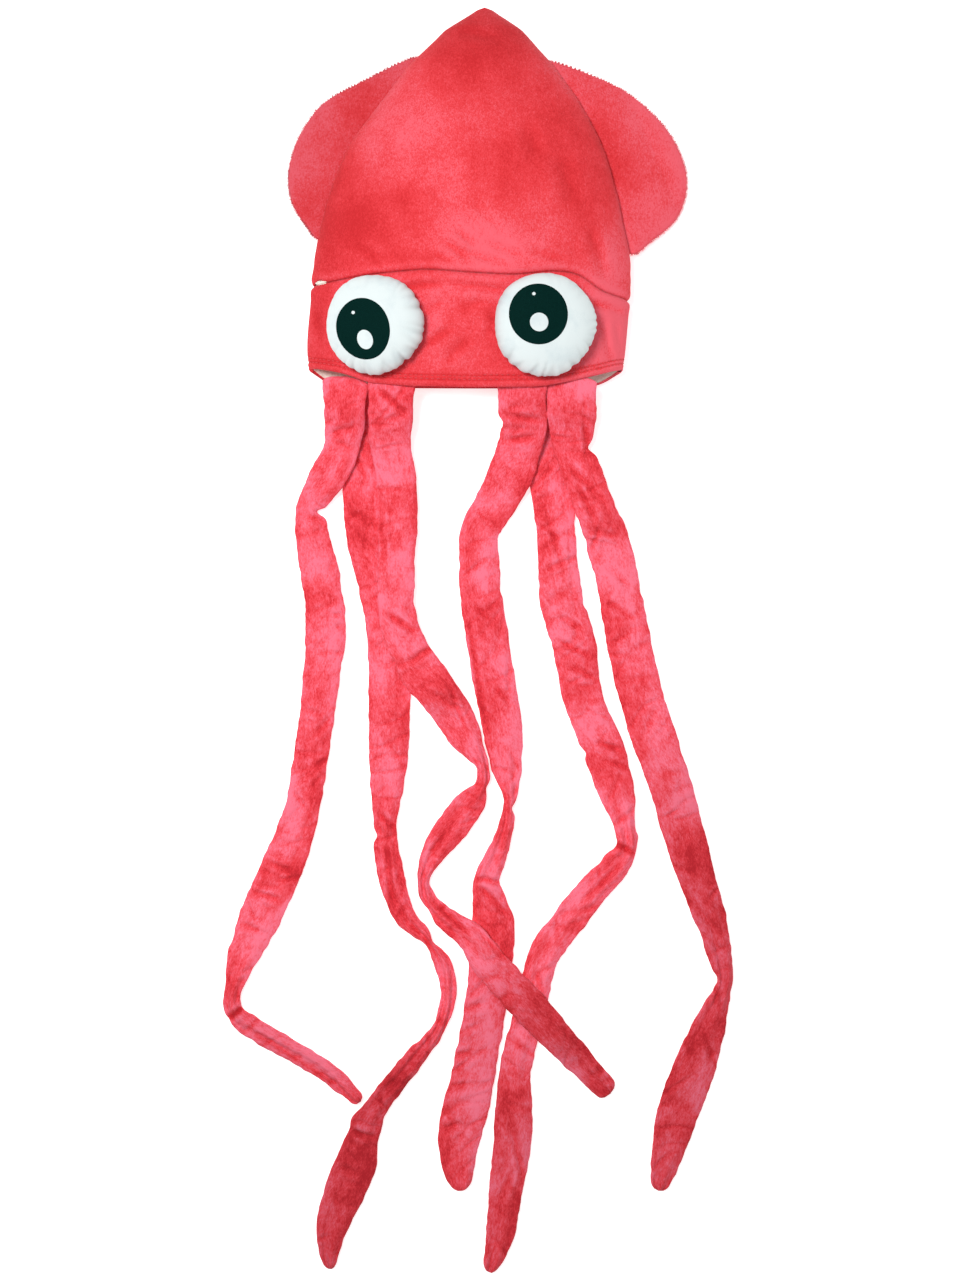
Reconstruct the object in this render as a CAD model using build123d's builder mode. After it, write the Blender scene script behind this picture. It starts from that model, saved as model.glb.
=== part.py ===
from build123d import *

from math import acos, degrees
import os

os.makedirs("parts", exist_ok=True)

# A plush squid hat lying on its back. +X is to the right, +Y runs towards the
# pointed top of the mantle, +Z is up, and the hat rests on z = 0. Millimetres.

# Driving dimensions
plush = 4.0  # plush fabric with its pile
wadding = 6.0  # wadding between plush and lining
lining = 1.5  # woven head lining
seam_height = 22.0  # side seams stand this high while the hat lies flat
rim_y = 226.0  # the open end of the hat
band_seam_y = 320.0  # seam between face band and mantle
binding_depth = 6.0  # turned-in edge that closes the wadding at the rim

# Outer shape of the hat, from the rim to the tip:
# y, centre x, half width, rise above the side seam, drop below it
hat_sections = [
    (rim_y, -12, 139, 33, 30),
    (265, -11, 142, 38, 30),
    (303, -8, 142, 41, 30),
    (337, -6, 141, 44, 30),
    (370, -6, 135, 46, 30),
    (402, -5, 127, 46, 30),
    (441, -3, 113, 44, 30),
    (480, 1, 89, 38, 28),
    (515, 2, 63, 30, 24),
    (545, 4, 35, 19, 16),
    (564, 5, 12, 9, 8),
]

# Bag of head lining, measured at the outside of the lining
bag_inset = plush + wadding
bag_sections = [
    (rim_y, -12, 129, 23, 20),
    (265, -11, 132, 28, 20),
    (303, -8, 132, 31, 20),
    (337, -6, 128, 33, 20),
    (370, -6, 113, 31, 19),
    (396, -5, 86, 24, 16),
    (410, -5, 52, 14, 12),
]

# Stuffed eyes: centre x, centre y, radius, height of the band under the eye,
# outward tilt in degrees
eye_thickness = 31.0
eye_undercut = 11.0  # the back of an eye is this much smaller in radius
eye_shoulder = 4.0  # from the widest part in to the edge of the dome
eye_widest_height = 12.0
eye_dome_radius = 85.0
eye_cover = 2.5  # white plush cover
pupil_film = 0.5  # raised print of the pupil
eye_seat_gap = 0.2  # the flat back of an eye clears the curved band
band_slope = 4.3  # the band rises towards the mantle, in degrees
eye_print_floor = 66.0  # the pupils lie wholly above this height
eyes = {
    "left": (-89, 275, 42, 54.9, -10),
    "right": (57, 276, 43, 56.7, 8.7),
}
# Pupil: centre x, centre y, width, height, turn in degrees
pupils = {
    "left": (-100, 270, 45, 51, 12),
    "right": (51, 283, 50, 52, 0),
}
# Unprinted highlights in each pupil: centre x, centre y, width, height, turn
highlights = {
    "left": [(-98, 261, 14, 17, 20), (-108, 284.5, 3, 3, 0)],
    "right": [(51.5, 276, 16, 16, 0), (47, 300, 3, 3, 0)],
}

# Side fins: padded flaps that fold along a straight line beside the mantle
fin_bottom = 4.0
fin_thickness = 14.0
fin_ply = 4.0  # plush on each face of the fin
fold_gap = 0.4  # clearance between the fixed strip and the flap
# Ends of the fold line, then the free edge from the second end to the first
fold_lines = {
    "left": [(-160.8, 383.2), (-94.4, 507.1)],
    "right": [(157.1, 362.4), (92.8, 509.8)],
}
fin_edges = {
    "left": [(-139, 485), (-159.5, 458), (-169.5, 431), (-170.5, 408)],
    "right": [(136, 491), (161, 469), (176.5, 448), (185.5, 424), (185.5, 402), (176, 380)],
}
# Corners of the fixed strip that lie inside the mantle and at its ends
strip_corners = {
    "left": [(-82, 512), (-60, 521), (-75, 470), (-125, 385), (-142, 364), (-156, 376)],
    "right": [(83.5, 512), (64, 517), (80, 470), (120, 385), (134, 351), (151, 358)],
}

# Tentacles: flat sleeves of two plush strips, each station is
# x, y, width, height of its underside
sleeve_thickness = 8.0
root_gap = 0.4  # clearance between a tentacle's root and the rim
root_y = rim_y - root_gap
tentacles = {
    1: [
        (-118, root_y, 40, 34), (-119, 207, 36, 25), (-120, 191, 33, 15), (-124, 176, 30, 9),
        (-136, 149, 30, 8.6), (-149, 127, 26, 0), (-150, 108, 29, 0), (-146, 78, 33, 0),
        (-140, 45, 34, 0), (-138, 15, 36, 0), (-140, -20, 34, 0), (-148, -80, 31, 0),
        (-159, -150, 32, 0), (-178, -204, 38, 0), (-204, -262, 35, 0), (-215, -290, 24, 0),
        (-221, -312, 15, 0), (-219, -331, 15, 0), (-203, -345, 20, 0), (-163, -368, 18, 0),
        (-134, -386, 19, 0), (-106, -411, 12, 0),
    ],
    2: [
        (-96, root_y, 39, 0), (-99, 180, 39, 0), (-103, 136, 39, 0), (-99, 94, 39, 0),
        (-88, 50, 39, 0), (-82, 10, 38, 0), (-80, -35, 38, 0), (-81, -78, 36, 0),
        (-82, -118, 32, 0), (-84, -165, 22, 0), (-80, -203, 24, 0), (-67, -243, 19, 0),
        (-45, -266, 13, 0), (-31, -290, 15, 0), (-28, -318, 14, 0), (-36, -345, 13, 0),
        (-57, -371, 18, 0), (-90, -413, 21, 0), (-103, -440, 29, 0), (-110, -466, 37, 0),
        (-119, -488, 37, 0), (-131, -520, 30, 0), (-134, -545, 18, 0), (-132, -562, 6, 0),
    ],
    3: [
        (-77, root_y, 40, 41), (-78, 206, 39, 31), (-79, 186, 38, 18), (-77, 166, 35, 10),
        (-74, 145, 33, 8.6), (-72, 109, 34, 8.6), (-74, 62, 31, 8.6), (-73, 25, 32, 8.6),
        (-64, -4, 34, 8.6), (-51, -25, 38, 8.6), (-38, -42, 36, 8.6), (-24, -63, 33, 0),
        (-11, -86, 26, 0), (1, -105, 13, 0), (4, -117, 12, 0), (3, -128, 15, 0),
        (-6, -142, 25, 0), (-22, -162, 29, 0), (-40, -187, 22, 0), (-49, -209, 12, 0),
        (-47, -225, 13, 1), (-38, -238, 18, 5), (-24, -249, 21, 8.6), (-8, -262, 26, 8.6),
        (13, -290, 31, 8.6), (50, -330, 32, 8.6), (69, -351, 29, 8.6), (90, -374, 26, 0),
        (118, -405, 18, 0),
    ],
    4: [
        (38, root_y, 42, 41), (38, 208, 42, 29), (40, 190, 39, 18), (34, 168, 40, 10),
        (26, 148, 39, 8.6), (12, 121, 36, 0), (1, 103, 36, 0), (0, 80, 35, 0),
        (2, 40, 37, 0), (9, -5, 38, 0), (19, -65, 37, 0), (25, -112, 26, 0),
        (28, -137, 14, 0), (25, -163, 13, 0), (14, -194, 19, 0), (7, -213, 24, 0),
        (10, -233, 31, 0), (13, -262, 38, 0), (6, -324, 37, 0), (0, -358, 37, 0),
        (-6, -392, 38, 0), (-12, -416, 41, 0), (-18, -446, 38, 0), (-18, -472, 28, 0),
        (-15, -492, 10, 0),
    ],
    5: [
        (62, root_y, 40, 0), (62, 182, 39, 0), (66, 135, 39, 0), (70, 90, 34, 0),
        (74, 39, 38, 0), (85, 0, 39, 0), (94, -50, 36, 0), (112, -97, 37, 0),
        (124, -135, 32, 0), (132, -165, 18, 0), (133, -184, 18, 0), (120, -201, 26, 0),
        (102, -222, 28, 0), (69, -264, 29, 0), (55, -288, 28, 0), (47, -324, 28, 0),
        (38, -358, 28, 0), (32, -387, 28, 0), (31, -420, 34, 0), (30, -450, 35, 0),
        (24, -492, 30, 0), (18, -535, 25, 0), (8, -565, 8, 0),
    ],
    6: [
        (81, root_y, 44, 36), (82, 207, 43, 26), (83, 190, 38, 15), (85, 172, 35, 9),
        (92, 152, 34, 8.6), (99, 132, 35, 8.6), (106, 115, 36, 8.6), (116, 90, 40, 0),
        (125, 54, 37, 0), (130, 25, 38, 0), (138, -15, 39, 0), (152, -70, 39, 0),
        (172, -128, 38, 0), (190, -192, 35, 0), (208, -247, 28, 0), (218, -288, 20, 0),
        (218, -311, 17, 0), (207, -342, 29, 0), (192, -385, 37, 0), (180, -416, 37, 0),
        (172, -446, 32, 0), (166, -471, 23, 0), (161, -491, 10, 0),
    ],
}


def hat_half(sections, inset, front, floor=0.0):
    """Solid front or back half of the hat, inset from its outer surface."""
    with BuildPart() as half:
        for y, centre, half_width, rise, drop in sections:
            if y == sections[-1][0]:
                y -= max(inset, 0)
            height = (rise if front else drop) - inset
            radius = half_width - inset
            across = Plane(origin=(centre, y, seam_height), x_dir=(1, 0, 0), z_dir=(0, -1, 0))
            with BuildSketch(across):
                with BuildLine():
                    EllipticalCenterArc((0, 0), radius, height, 0 if front else 180, arc_size=180)
                    Line((-radius, 0), (radius, 0))
                make_face()
        loft()
        if not front:
            split(bisect_by=Plane.XY.offset(floor), keep=Keep.TOP)
    return half.part


def hat_panel(name, front, band):
    """One plush panel of the hat: mantle or face band, front or back."""
    outside = hat_half(hat_sections, 0, front)
    inside = hat_half(hat_sections, plush, front, plush)
    with BuildPart() as panel:
        add(outside)
        add(inside, mode=Mode.SUBTRACT)
        split(bisect_by=Plane.XZ.offset(-band_seam_y), keep=Keep.TOP if band else Keep.BOTTOM)
    finish(name, panel)


def finish(name, piece):
    """Label a finished piece and write it to its own file."""
    piece.part.label = name
    export_step(piece.part, "parts/" + name + ".step")


# Outer panels of the hat
for face, is_front in (("front", True), ("back", False)):
    hat_panel("mantle_" + face + "_plush", is_front, band=False)
    hat_panel("band_" + face + "_plush", is_front, band=True)

# Wadding between plush and lining fills the tip, and the turned-in edge closes
# it at the rim
front_fill = hat_half(hat_sections, plush, True)
back_fill = hat_half(hat_sections, plush, False, plush)
front_bag = hat_half(bag_sections, 0, True)
back_bag = hat_half(bag_sections, 0, False, bag_inset)
binding_plane = Plane.XZ.offset(-rim_y - binding_depth)
for name, keep in (("hat_wadding", Keep.BOTTOM), ("hem_binding", Keep.TOP)):
    with BuildPart() as filling:
        add(front_fill)
        add(back_fill)
        add(front_bag, mode=Mode.SUBTRACT)
        add(back_bag, mode=Mode.SUBTRACT)
        split(bisect_by=binding_plane, keep=keep)
    finish(name, filling)

# Head lining, front and back
for face, is_front, bag in (("front", True, front_bag), ("back", False, back_bag)):
    with BuildPart() as head_lining:
        add(bag)
        add(hat_half(bag_sections, lining, is_front, bag_inset + lining), mode=Mode.SUBTRACT)
    finish("head_lining_" + face, head_lining)

# Two rows of topstitching stand just proud of the front of the hem
front_outside = hat_half(hat_sections, 0, True)
thread_height = 0.5
stitch_rows = [(231.0, 232.2), (234.2, 235.4)]
stitch_cover = hat_half(hat_sections, -thread_height, True)
rows = []
for row_start, row_end in stitch_rows:
    with BuildPart() as row:
        add(stitch_cover)
        add(front_outside, mode=Mode.SUBTRACT)
        split(bisect_by=Plane.XZ.offset(-row_start), keep=Keep.BOTTOM)
        split(bisect_by=Plane.XZ.offset(-row_end), keep=Keep.TOP)
    rows.append(row.part)
with BuildPart() as hem_topstitching:
    for stitches in rows:
        add(stitches)
finish("hem_topstitching", hem_topstitching)


# Eyes
def eye_plane(side, lift):
    """Plane across an eye, this far above the band it is sewn to."""
    centre_x, centre_y, radius, ground, tilt = eyes[side]
    seat = Plane(origin=(centre_x, centre_y, ground), x_dir=(1, 0, 0), z_dir=(0, 0, 1))
    return seat.rotated((band_slope, tilt, 0)).offset(lift)


def eye_solid(side, inset):
    """Stuffed eye, inset from its cover: flat back, round side, domed front."""
    seat = eye_plane(side, eye_seat_gap)
    half_profile = Plane(origin=seat.origin, x_dir=seat.x_dir, z_dir=-seat.y_dir)
    radius = eyes[side][2] - inset
    dome_radius = eye_dome_radius - inset
    dome_middle = eye_thickness - eye_dome_radius
    dome_angle = acos((radius - eye_shoulder) / dome_radius)
    with BuildPart() as lens:
        with BuildSketch(half_profile):
            with BuildLine():
                dome = CenterArc(
                    (0, dome_middle), dome_radius, degrees(dome_angle), 90 - degrees(dome_angle)
                )
                back = Line((0, 0), (radius - eye_undercut, 0))
                ThreePointArc(back @ 1, (radius, eye_widest_height), dome @ 0)
                Line(dome @ 1, back @ 0)
            make_face()
        revolve(axis=Axis(seat.origin, seat.z_dir))
    return lens.part


def oval_post(centre_x, centre_y, width, height, turn):
    """Upright oval post that cuts a printed shape out of the eye's surface."""
    with BuildPart() as post:
        with BuildSketch(Plane.XY.offset(eye_print_floor)):
            with Locations(Location((centre_x, centre_y, 0), (0, 0, turn))):
                Ellipse(width / 2, height / 2)
        extrude(amount=80)
    return post.part


for side in ("left", "right"):
    whole_eye = eye_solid(side, 0)
    eye_core = eye_solid(side, eye_cover)
    with BuildPart() as cover:
        add(whole_eye)
        add(eye_core, mode=Mode.SUBTRACT)
    finish(side + "_eye_cover", cover)
    with BuildPart() as stuffing:
        add(eye_core)
    finish(side + "_eye_stuffing", stuffing)
    dome_centre = eye_plane(side, eye_seat_gap + eye_thickness - eye_dome_radius)
    with BuildPart() as pupil:
        with Locations(dome_centre.origin):
            Sphere(eye_dome_radius + pupil_film, rotation=(90, 0, 0))
            Sphere(eye_dome_radius, rotation=(90, 0, 0), mode=Mode.SUBTRACT)
        add(oval_post(*pupils[side]), mode=Mode.INTERSECT)
        for highlight in highlights[side]:
            add(oval_post(*highlight), mode=Mode.SUBTRACT)
    finish(side + "_eye_pupil", pupil)

# Fins: a strip sewn into the side seam, and a padded flap that folds beside it
hat_outside = [front_outside, hat_half(hat_sections, 0, False)]
nose_radius = fin_thickness / 2
fin_middle = fin_bottom + nose_radius
fin_layers = {
    "back_plush": (fin_bottom, fin_bottom + fin_ply),
    "wadding": (fin_bottom + fin_ply, fin_bottom + fin_thickness - fin_ply),
    "front_plush": (fin_bottom + fin_thickness - fin_ply, fin_bottom + fin_thickness),
}
for side, inward in (("left", 1), ("right", -1)):
    fold_start, fold_end = [Vector(x, y, fin_middle) for x, y in fold_lines[side]]
    fold = fold_end - fold_start
    fold_plane = Plane(origin=fold_start, x_dir=(0, 0, 1), z_dir=fold)
    # The fixed strip stops short of the rounded nose of the flap
    to_mantle = Vector(fold.Y, -fold.X, 0).normalized() * inward
    strip_face = Plane(
        origin=fold_start + to_mantle * (nose_radius + fold_gap),
        x_dir=fold,
        z_dir=to_mantle,
    )
    with BuildPart() as root_strip:
        with BuildSketch(Plane.XY.offset(fin_bottom)):
            with BuildLine():
                Polyline(*strip_corners[side], close=True)
            make_face()
        extrude(amount=fin_thickness)
        split(bisect_by=strip_face, keep=Keep.TOP)
        for hat_piece in hat_outside:
            add(hat_piece, mode=Mode.SUBTRACT)
    finish(side + "_fin_root", root_strip)
    with BuildPart() as flap:
        with BuildSketch(Plane.XY.offset(fin_bottom)):
            with BuildLine():
                Line(fold_lines[side][0], fold_lines[side][1])
                Spline(fold_lines[side][1], *fin_edges[side], fold_lines[side][0])
            make_face()
        extrude(amount=fin_thickness)
        with BuildSketch(fold_plane):
            Circle(nose_radius)
        extrude(amount=fold.length)
    for layer, (low, high) in fin_layers.items():
        with BuildPart() as fin_layer:
            add(flap.part)
            split(bisect_by=Plane.XY.offset(low), keep=Keep.TOP)
            split(bisect_by=Plane.XY.offset(high), keep=Keep.BOTTOM)
        finish(side + "_fin_" + layer, fin_layer)


# Tentacles
def heading(stations, index):
    """Level direction of the sleeve at a station."""
    before = stations[max(index - 1, 0)]
    after = stations[min(index + 1, len(stations) - 1)]
    if index == 0:
        return Vector(0, -1, 0)
    return Vector(after[0] - before[0], after[1] - before[1], 0).normalized()


def sleeve_strip(stations, start_height):
    """One plush strip of a sleeve, starting this high above its underside."""
    with BuildPart() as strip:
        for index, (x, y, width, base) in enumerate(stations):
            forward = heading(stations, index)
            across = Vector(-forward.Y, forward.X, 0)
            station = Plane(origin=(x, y, base + start_height), x_dir=across, z_dir=forward)
            with BuildSketch(station):
                Rectangle(width, sleeve_thickness / 2, align=(Align.CENTER, Align.MIN))
        loft(ruled=True)
    return strip


for number, stations in tentacles.items():
    name = "tentacle_" + str(number)
    finish(name + "_lower_strip", sleeve_strip(stations, 0))
    finish(name + "_upper_strip", sleeve_strip(stations, sleeve_thickness / 2))
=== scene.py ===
import bmesh
import bpy
import math
import random
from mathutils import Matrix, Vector, noise
from mathutils.bvhtree import BVHTree
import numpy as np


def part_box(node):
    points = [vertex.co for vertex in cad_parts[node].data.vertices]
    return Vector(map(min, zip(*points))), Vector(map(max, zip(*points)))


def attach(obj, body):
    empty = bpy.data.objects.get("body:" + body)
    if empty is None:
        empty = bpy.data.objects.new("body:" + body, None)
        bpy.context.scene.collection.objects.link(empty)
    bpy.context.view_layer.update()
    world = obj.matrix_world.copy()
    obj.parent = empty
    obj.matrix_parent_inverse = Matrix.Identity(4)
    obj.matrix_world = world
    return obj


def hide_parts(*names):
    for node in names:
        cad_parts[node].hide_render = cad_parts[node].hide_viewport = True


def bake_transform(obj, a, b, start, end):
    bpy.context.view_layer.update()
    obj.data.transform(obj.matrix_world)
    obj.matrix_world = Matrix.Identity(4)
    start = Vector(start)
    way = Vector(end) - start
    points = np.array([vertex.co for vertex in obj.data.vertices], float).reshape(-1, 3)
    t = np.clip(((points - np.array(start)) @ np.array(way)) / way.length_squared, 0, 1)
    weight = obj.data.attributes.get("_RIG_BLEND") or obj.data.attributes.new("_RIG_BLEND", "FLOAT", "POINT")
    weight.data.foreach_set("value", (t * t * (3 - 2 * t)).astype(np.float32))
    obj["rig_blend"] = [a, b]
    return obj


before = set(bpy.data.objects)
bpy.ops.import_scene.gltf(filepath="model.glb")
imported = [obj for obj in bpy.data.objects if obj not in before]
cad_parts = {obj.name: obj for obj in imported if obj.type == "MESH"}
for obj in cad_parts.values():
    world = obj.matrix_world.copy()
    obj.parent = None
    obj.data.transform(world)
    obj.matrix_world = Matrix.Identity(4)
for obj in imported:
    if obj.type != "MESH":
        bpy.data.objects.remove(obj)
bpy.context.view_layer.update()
mm = 0.001
print("frame loaded")

# camera and light

cameraSettings = {
    "lens": 56.25,  # with the 36 mm sensor
    "place": (0.9, 3.15, 1800),
}


def makeCamera(settings):
    data = bpy.data.cameras.new("camera")
    data.lens = settings["lens"]
    data.sensor_width = 36
    camera = bpy.data.objects.new("camera", data)
    camera.location = Vector(settings["place"]) * mm
    bpy.context.collection.objects.link(camera)
    bpy.context.scene.camera = camera


lightSettings = {
    "sky": (1.0, 1.0, 1.0),
    "skyStrength": 0.40,
    "lamps": [
        # name, place, aim, size, power
        ("keyLamp", (-520, 420, 2050), (-20, 60, 0), 0.5, 36),
        ("fillLamp", (900, -100, 1900), (0, 100, 0), 1.6, 5),
    ],
    "floorColour": (0.93, 0.93, 0.93, 1),
    "floorGlow": 0.6,
    "floorSize": 14,
}


def makeLights(settings):
    world = bpy.data.worlds.new("studio")
    bpy.context.scene.world = world
    world.use_nodes = True
    sky = world.node_tree.nodes["Background"]
    sky.inputs["Color"].default_value = (*settings["sky"], 1)
    sky.inputs["Strength"].default_value = settings["skyStrength"]
    for name, place, aim, size, power in settings["lamps"]:
        data = bpy.data.lights.new(name, "AREA")
        data.size = size
        data.energy = power
        lamp = bpy.data.objects.new(name, data)
        lamp.location = Vector(place) * mm
        towards = (Vector(aim) - Vector(place)).normalized()
        lamp.rotation_euler = towards.to_track_quat("-Z", "Y").to_euler()
        bpy.context.collection.objects.link(lamp)
    floorMesh = bpy.data.meshes.new("floor")
    bm = bmesh.new()
    bmesh.ops.create_grid(bm, x_segments=1, y_segments=1, size=settings["floorSize"] / 2)
    bmesh.ops.translate(bm, verts=bm.verts, vec=(0, 0, -0.4 * mm))
    bm.to_mesh(floorMesh)
    bm.free()
    floor = bpy.data.objects.new("floor", floorMesh)
    bpy.context.collection.objects.link(floor)
    paper = bpy.data.materials.new("paper")
    paper.use_nodes = True
    shader = paper.node_tree.nodes["Principled BSDF"]
    shader.inputs["Base Color"].default_value = settings["floorColour"]
    shader.inputs["Roughness"].default_value = 0.9
    shader.inputs["Emission Color"].default_value = (1, 1, 1, 1)
    shader.inputs["Emission Strength"].default_value = settings["floorGlow"]
    floorMesh.materials.append(paper)


makeCamera(cameraSettings)
makeLights(lightSettings)
bpy.context.scene.view_settings.view_transform = "Standard"
print("camera and lights")

# shader maths


class Level:  # one number socket that takes part in sums
    def __init__(self, tree, socket):
        self.tree = tree
        self.socket = socket

    def sum(self, operation, first, second):
        node = self.tree.nodes.new("ShaderNodeMath")
        node.operation = operation
        for place, item in enumerate((first, second)):
            if isinstance(item, Level):
                self.tree.links.new(item.socket, node.inputs[place])
            else:
                node.inputs[place].default_value = item
        return Level(self.tree, node.outputs[0])

    def __add__(self, other):
        return self.sum("ADD", self, other)

    __radd__ = __add__

    def __sub__(self, other):
        return self.sum("SUBTRACT", self, other)

    def __rsub__(self, other):
        return self.sum("SUBTRACT", other, self)

    def __mul__(self, other):
        return self.sum("MULTIPLY", self, other)

    __rmul__ = __mul__


class Finish:  # a material and the one way its nodes are made
    def __init__(self, name):
        self.material = bpy.data.materials.new(name)
        self.material.use_nodes = True
        self.tree = self.material.node_tree
        self.shader = self.tree.nodes["Principled BSDF"]
        self.cloth = self.node("ShaderNodeAttribute", {"attribute_name": "cloth"}, {}, "Vector")

    def node(self, kind, settings, inputs, output):
        made = self.tree.nodes.new(kind)
        for name, value in settings.items():
            if name == "stops":
                ramp = made.color_ramp
                while len(ramp.elements) < len(value):
                    ramp.elements.new(0.5)
                for element, (position, colour) in zip(ramp.elements, value):
                    element.position = position
                    element.color = colour
            else:
                setattr(made, name, value)
        for name, value in inputs.items():
            if isinstance(value, Level):
                self.tree.links.new(value.socket, made.inputs[name])
            else:
                made.inputs[name].default_value = value
        return Level(self.tree, made.outputs[output])

    def feed(self, name, value):
        if isinstance(value, Level):
            self.tree.links.new(value.socket, self.shader.inputs[name])
        else:
            self.shader.inputs[name].default_value = value

    def number(self, attribute):
        return self.node("ShaderNodeAttribute", {"attribute_name": attribute}, {}, "Fac")

    def stretched(self, factors):
        return self.node("ShaderNodeVectorMath", {"operation": "MULTIPLY"}, {0: self.cloth, 1: factors}, 0)

    def noise(self, size, detail=2.0, rough=0.5, distortion=0.0, vector=None):
        inputs = {
            "Vector": vector or self.cloth,
            "Scale": 1 / (size * mm),
            "Detail": detail,
            "Roughness": rough,
            "Distortion": distortion,
        }
        return self.node("ShaderNodeTexNoise", {}, inputs, "Fac")

    def ramp(self, level, stops):
        return self.node("ShaderNodeValToRGB", {"stops": stops}, {"Fac": level}, "Color")

    def mix(self, factor, first, second, blend="MIX"):
        settings = {"data_type": "RGBA", "blend_type": blend}
        return self.node("ShaderNodeMix", settings, {0: factor, 6: first, 7: second}, 2)

    def bump(self, height, strength, distance, normal=None):
        inputs = {"Height": height, "Strength": strength, "Distance": distance * mm}
        if normal:
            inputs["Normal"] = normal
        return self.node("ShaderNodeBump", {}, inputs, "Normal")


def grey(level):
    return (level, level, level, 1)


# Short-pile velour: brushed patches, crushed marks and single fibres
velourLooks = {
    "hatVelour": {
        # the darkest colour, for dull pile and for painted shade
        "dullAndShaded": (0.56, 0.022, 0.028, 1),
        "deep": (0.66, 0.034, 0.042, 1),
        "plain": (0.74, 0.054, 0.068, 1),
        "brushed": (0.80, 0.112, 0.148, 1),
        "patch": (70, 1.3),  # size, strength
        "crush": (17, 0.5),
        "pile": (2.2, 0.8),
        "fibre": (0.9, 1.5),
        "sheen": 0.10,
    },
    "sleeveVelour": {
        # the darkest colour, for dull pile and for painted shade
        "dullAndShaded": (0.52, 0.020, 0.030, 1),
        "deep": (0.71, 0.040, 0.054, 1),
        "plain": (0.80, 0.080, 0.110, 1),
        "brushed": (0.87, 0.165, 0.240, 1),
        "patch": (34, 2.1),
        "crush": (9, 0.9),
        "pile": (2.2, 0.9),
        "fibre": (0.9, 1.3),
        "sheen": 0.12,
    },
}


def velour(name, look):
    finish = Finish(name)
    brushedWay = finish.stretched((1.0, 0.55, 1.0))
    patch = finish.noise(look["patch"][0], 2.5, 0.5, 0.25)
    crush = finish.noise(look["crush"][0], 3.0, 0.6, 0.35)
    pile = finish.noise(look["pile"][0], 3.0, 0.65, 0.0, brushedWay)
    fibre = finish.noise(look["fibre"][0], 2.0, 0.7, 0.0, brushedWay)
    tone = finish.number("tone") + 0.6
    tone = tone + (patch - 0.5) * look["patch"][1] + (crush - 0.5) * look["crush"][1]
    tone = tone + (pile - 0.5) * look["pile"][1] + (fibre - 0.5) * look["fibre"][1]
    stops = [(0.0, look["dullAndShaded"]), (0.3, look["deep"]), (0.6, look["plain"]), (1.0, look["brushed"])]
    # painted shade: the shade attribute darkens the colour
    light = 1 - finish.number("shade")
    finish.feed("Base Color", finish.mix(1.0, finish.ramp(tone, stops), light, "MULTIPLY"))
    finish.feed("Roughness", fibre * 0.15 + 0.78)
    fibres = finish.bump(fibre, 0.5, 0.5)
    finish.feed("Normal", finish.bump(pile, 0.35, 1.1, fibres))
    finish.feed("Sheen Weight", look["sheen"])
    finish.feed("Sheen Roughness", 0.4)
    finish.feed("Sheen Tint", (1.0, 0.62, 0.68, 1))
    finish.feed("Specular IOR Level", 0.08)
    return finish.material


eyeLook = {
    "white": (0.675, 0.74, 0.74, 1),
    "shade": (0.58, 0.66, 0.675, 1),
}


def eyeCloth(look):
    finish = Finish("eyeCloth")
    smudge = finish.noise(16, 2.0, 0.5)
    fibres = finish.noise(0.8, 2.0, 0.7)
    tone = finish.ramp(smudge * 0.7 + fibres * 0.3, [(0.28, grey(0)), (0.5, grey(1))])
    # painted shade in the gathers darkens the white
    light = 1 - finish.number("shade")
    finish.feed("Base Color", finish.mix(1.0, finish.mix(tone, look["shade"], look["white"]), light, "MULTIPLY"))
    finish.feed("Roughness", fibres * 0.1 + 0.8)
    finish.feed("Normal", finish.bump(fibres, 0.3, 0.25))
    finish.feed("Sheen Weight", 0.1)
    finish.feed("Specular IOR Level", 0.15)
    return finish.material


def pupilPrint():
    finish = Finish("pupilPrint")
    weave = finish.noise(0.7, 2.0, 0.7)
    dark = finish.ramp(weave, [(0.3, (0.0006, 0.011, 0.009, 1)), (0.75, (0.002, 0.022, 0.019, 1))])
    finish.feed("Base Color", dark)
    finish.feed("Roughness", weave * 0.15 + 0.7)
    finish.feed("Normal", finish.bump(weave, 0.25, 0.15))
    finish.feed("Specular IOR Level", 0.02)
    return finish.material


def liningCloth():
    finish = Finish("liningCloth")
    pile = finish.noise(2.2, 3.0, 0.65)
    smudge = finish.noise(18, 2.0, 0.5)
    tone = finish.ramp(pile * 0.6 + smudge * 0.4, [(0.3, (0.66, 0.62, 0.52, 1)), (0.6, (0.90, 0.88, 0.80, 1))])
    finish.feed("Base Color", tone)
    finish.feed("Roughness", pile * 0.1 + 0.82)
    finish.feed("Normal", finish.bump(pile, 0.6, 0.8))
    finish.feed("Specular IOR Level", 0.1)
    return finish.material


def threadTwist():
    finish = Finish("thread")
    ply = finish.noise(0.5, 1.0, 0.5)
    finish.feed("Base Color", finish.ramp(ply, [(0.3, (0.48, 0.02, 0.03, 1)), (0.7, (0.74, 0.06, 0.075, 1))]))
    finish.feed("Roughness", ply * 0.1 + 0.5)
    finish.feed("Normal", finish.bump(ply, 0.4, 0.2))
    return finish.material


hatVelour = velour("hatVelour", velourLooks["hatVelour"])
sleeveVelour = velour("sleeveVelour", velourLooks["sleeveVelour"])
whiteCloth = eyeCloth(eyeLook)
darkPrint = pupilPrint()
creamLining = liningCloth()
redThread = threadTwist()
print("materials")

# mesh helpers


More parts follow.
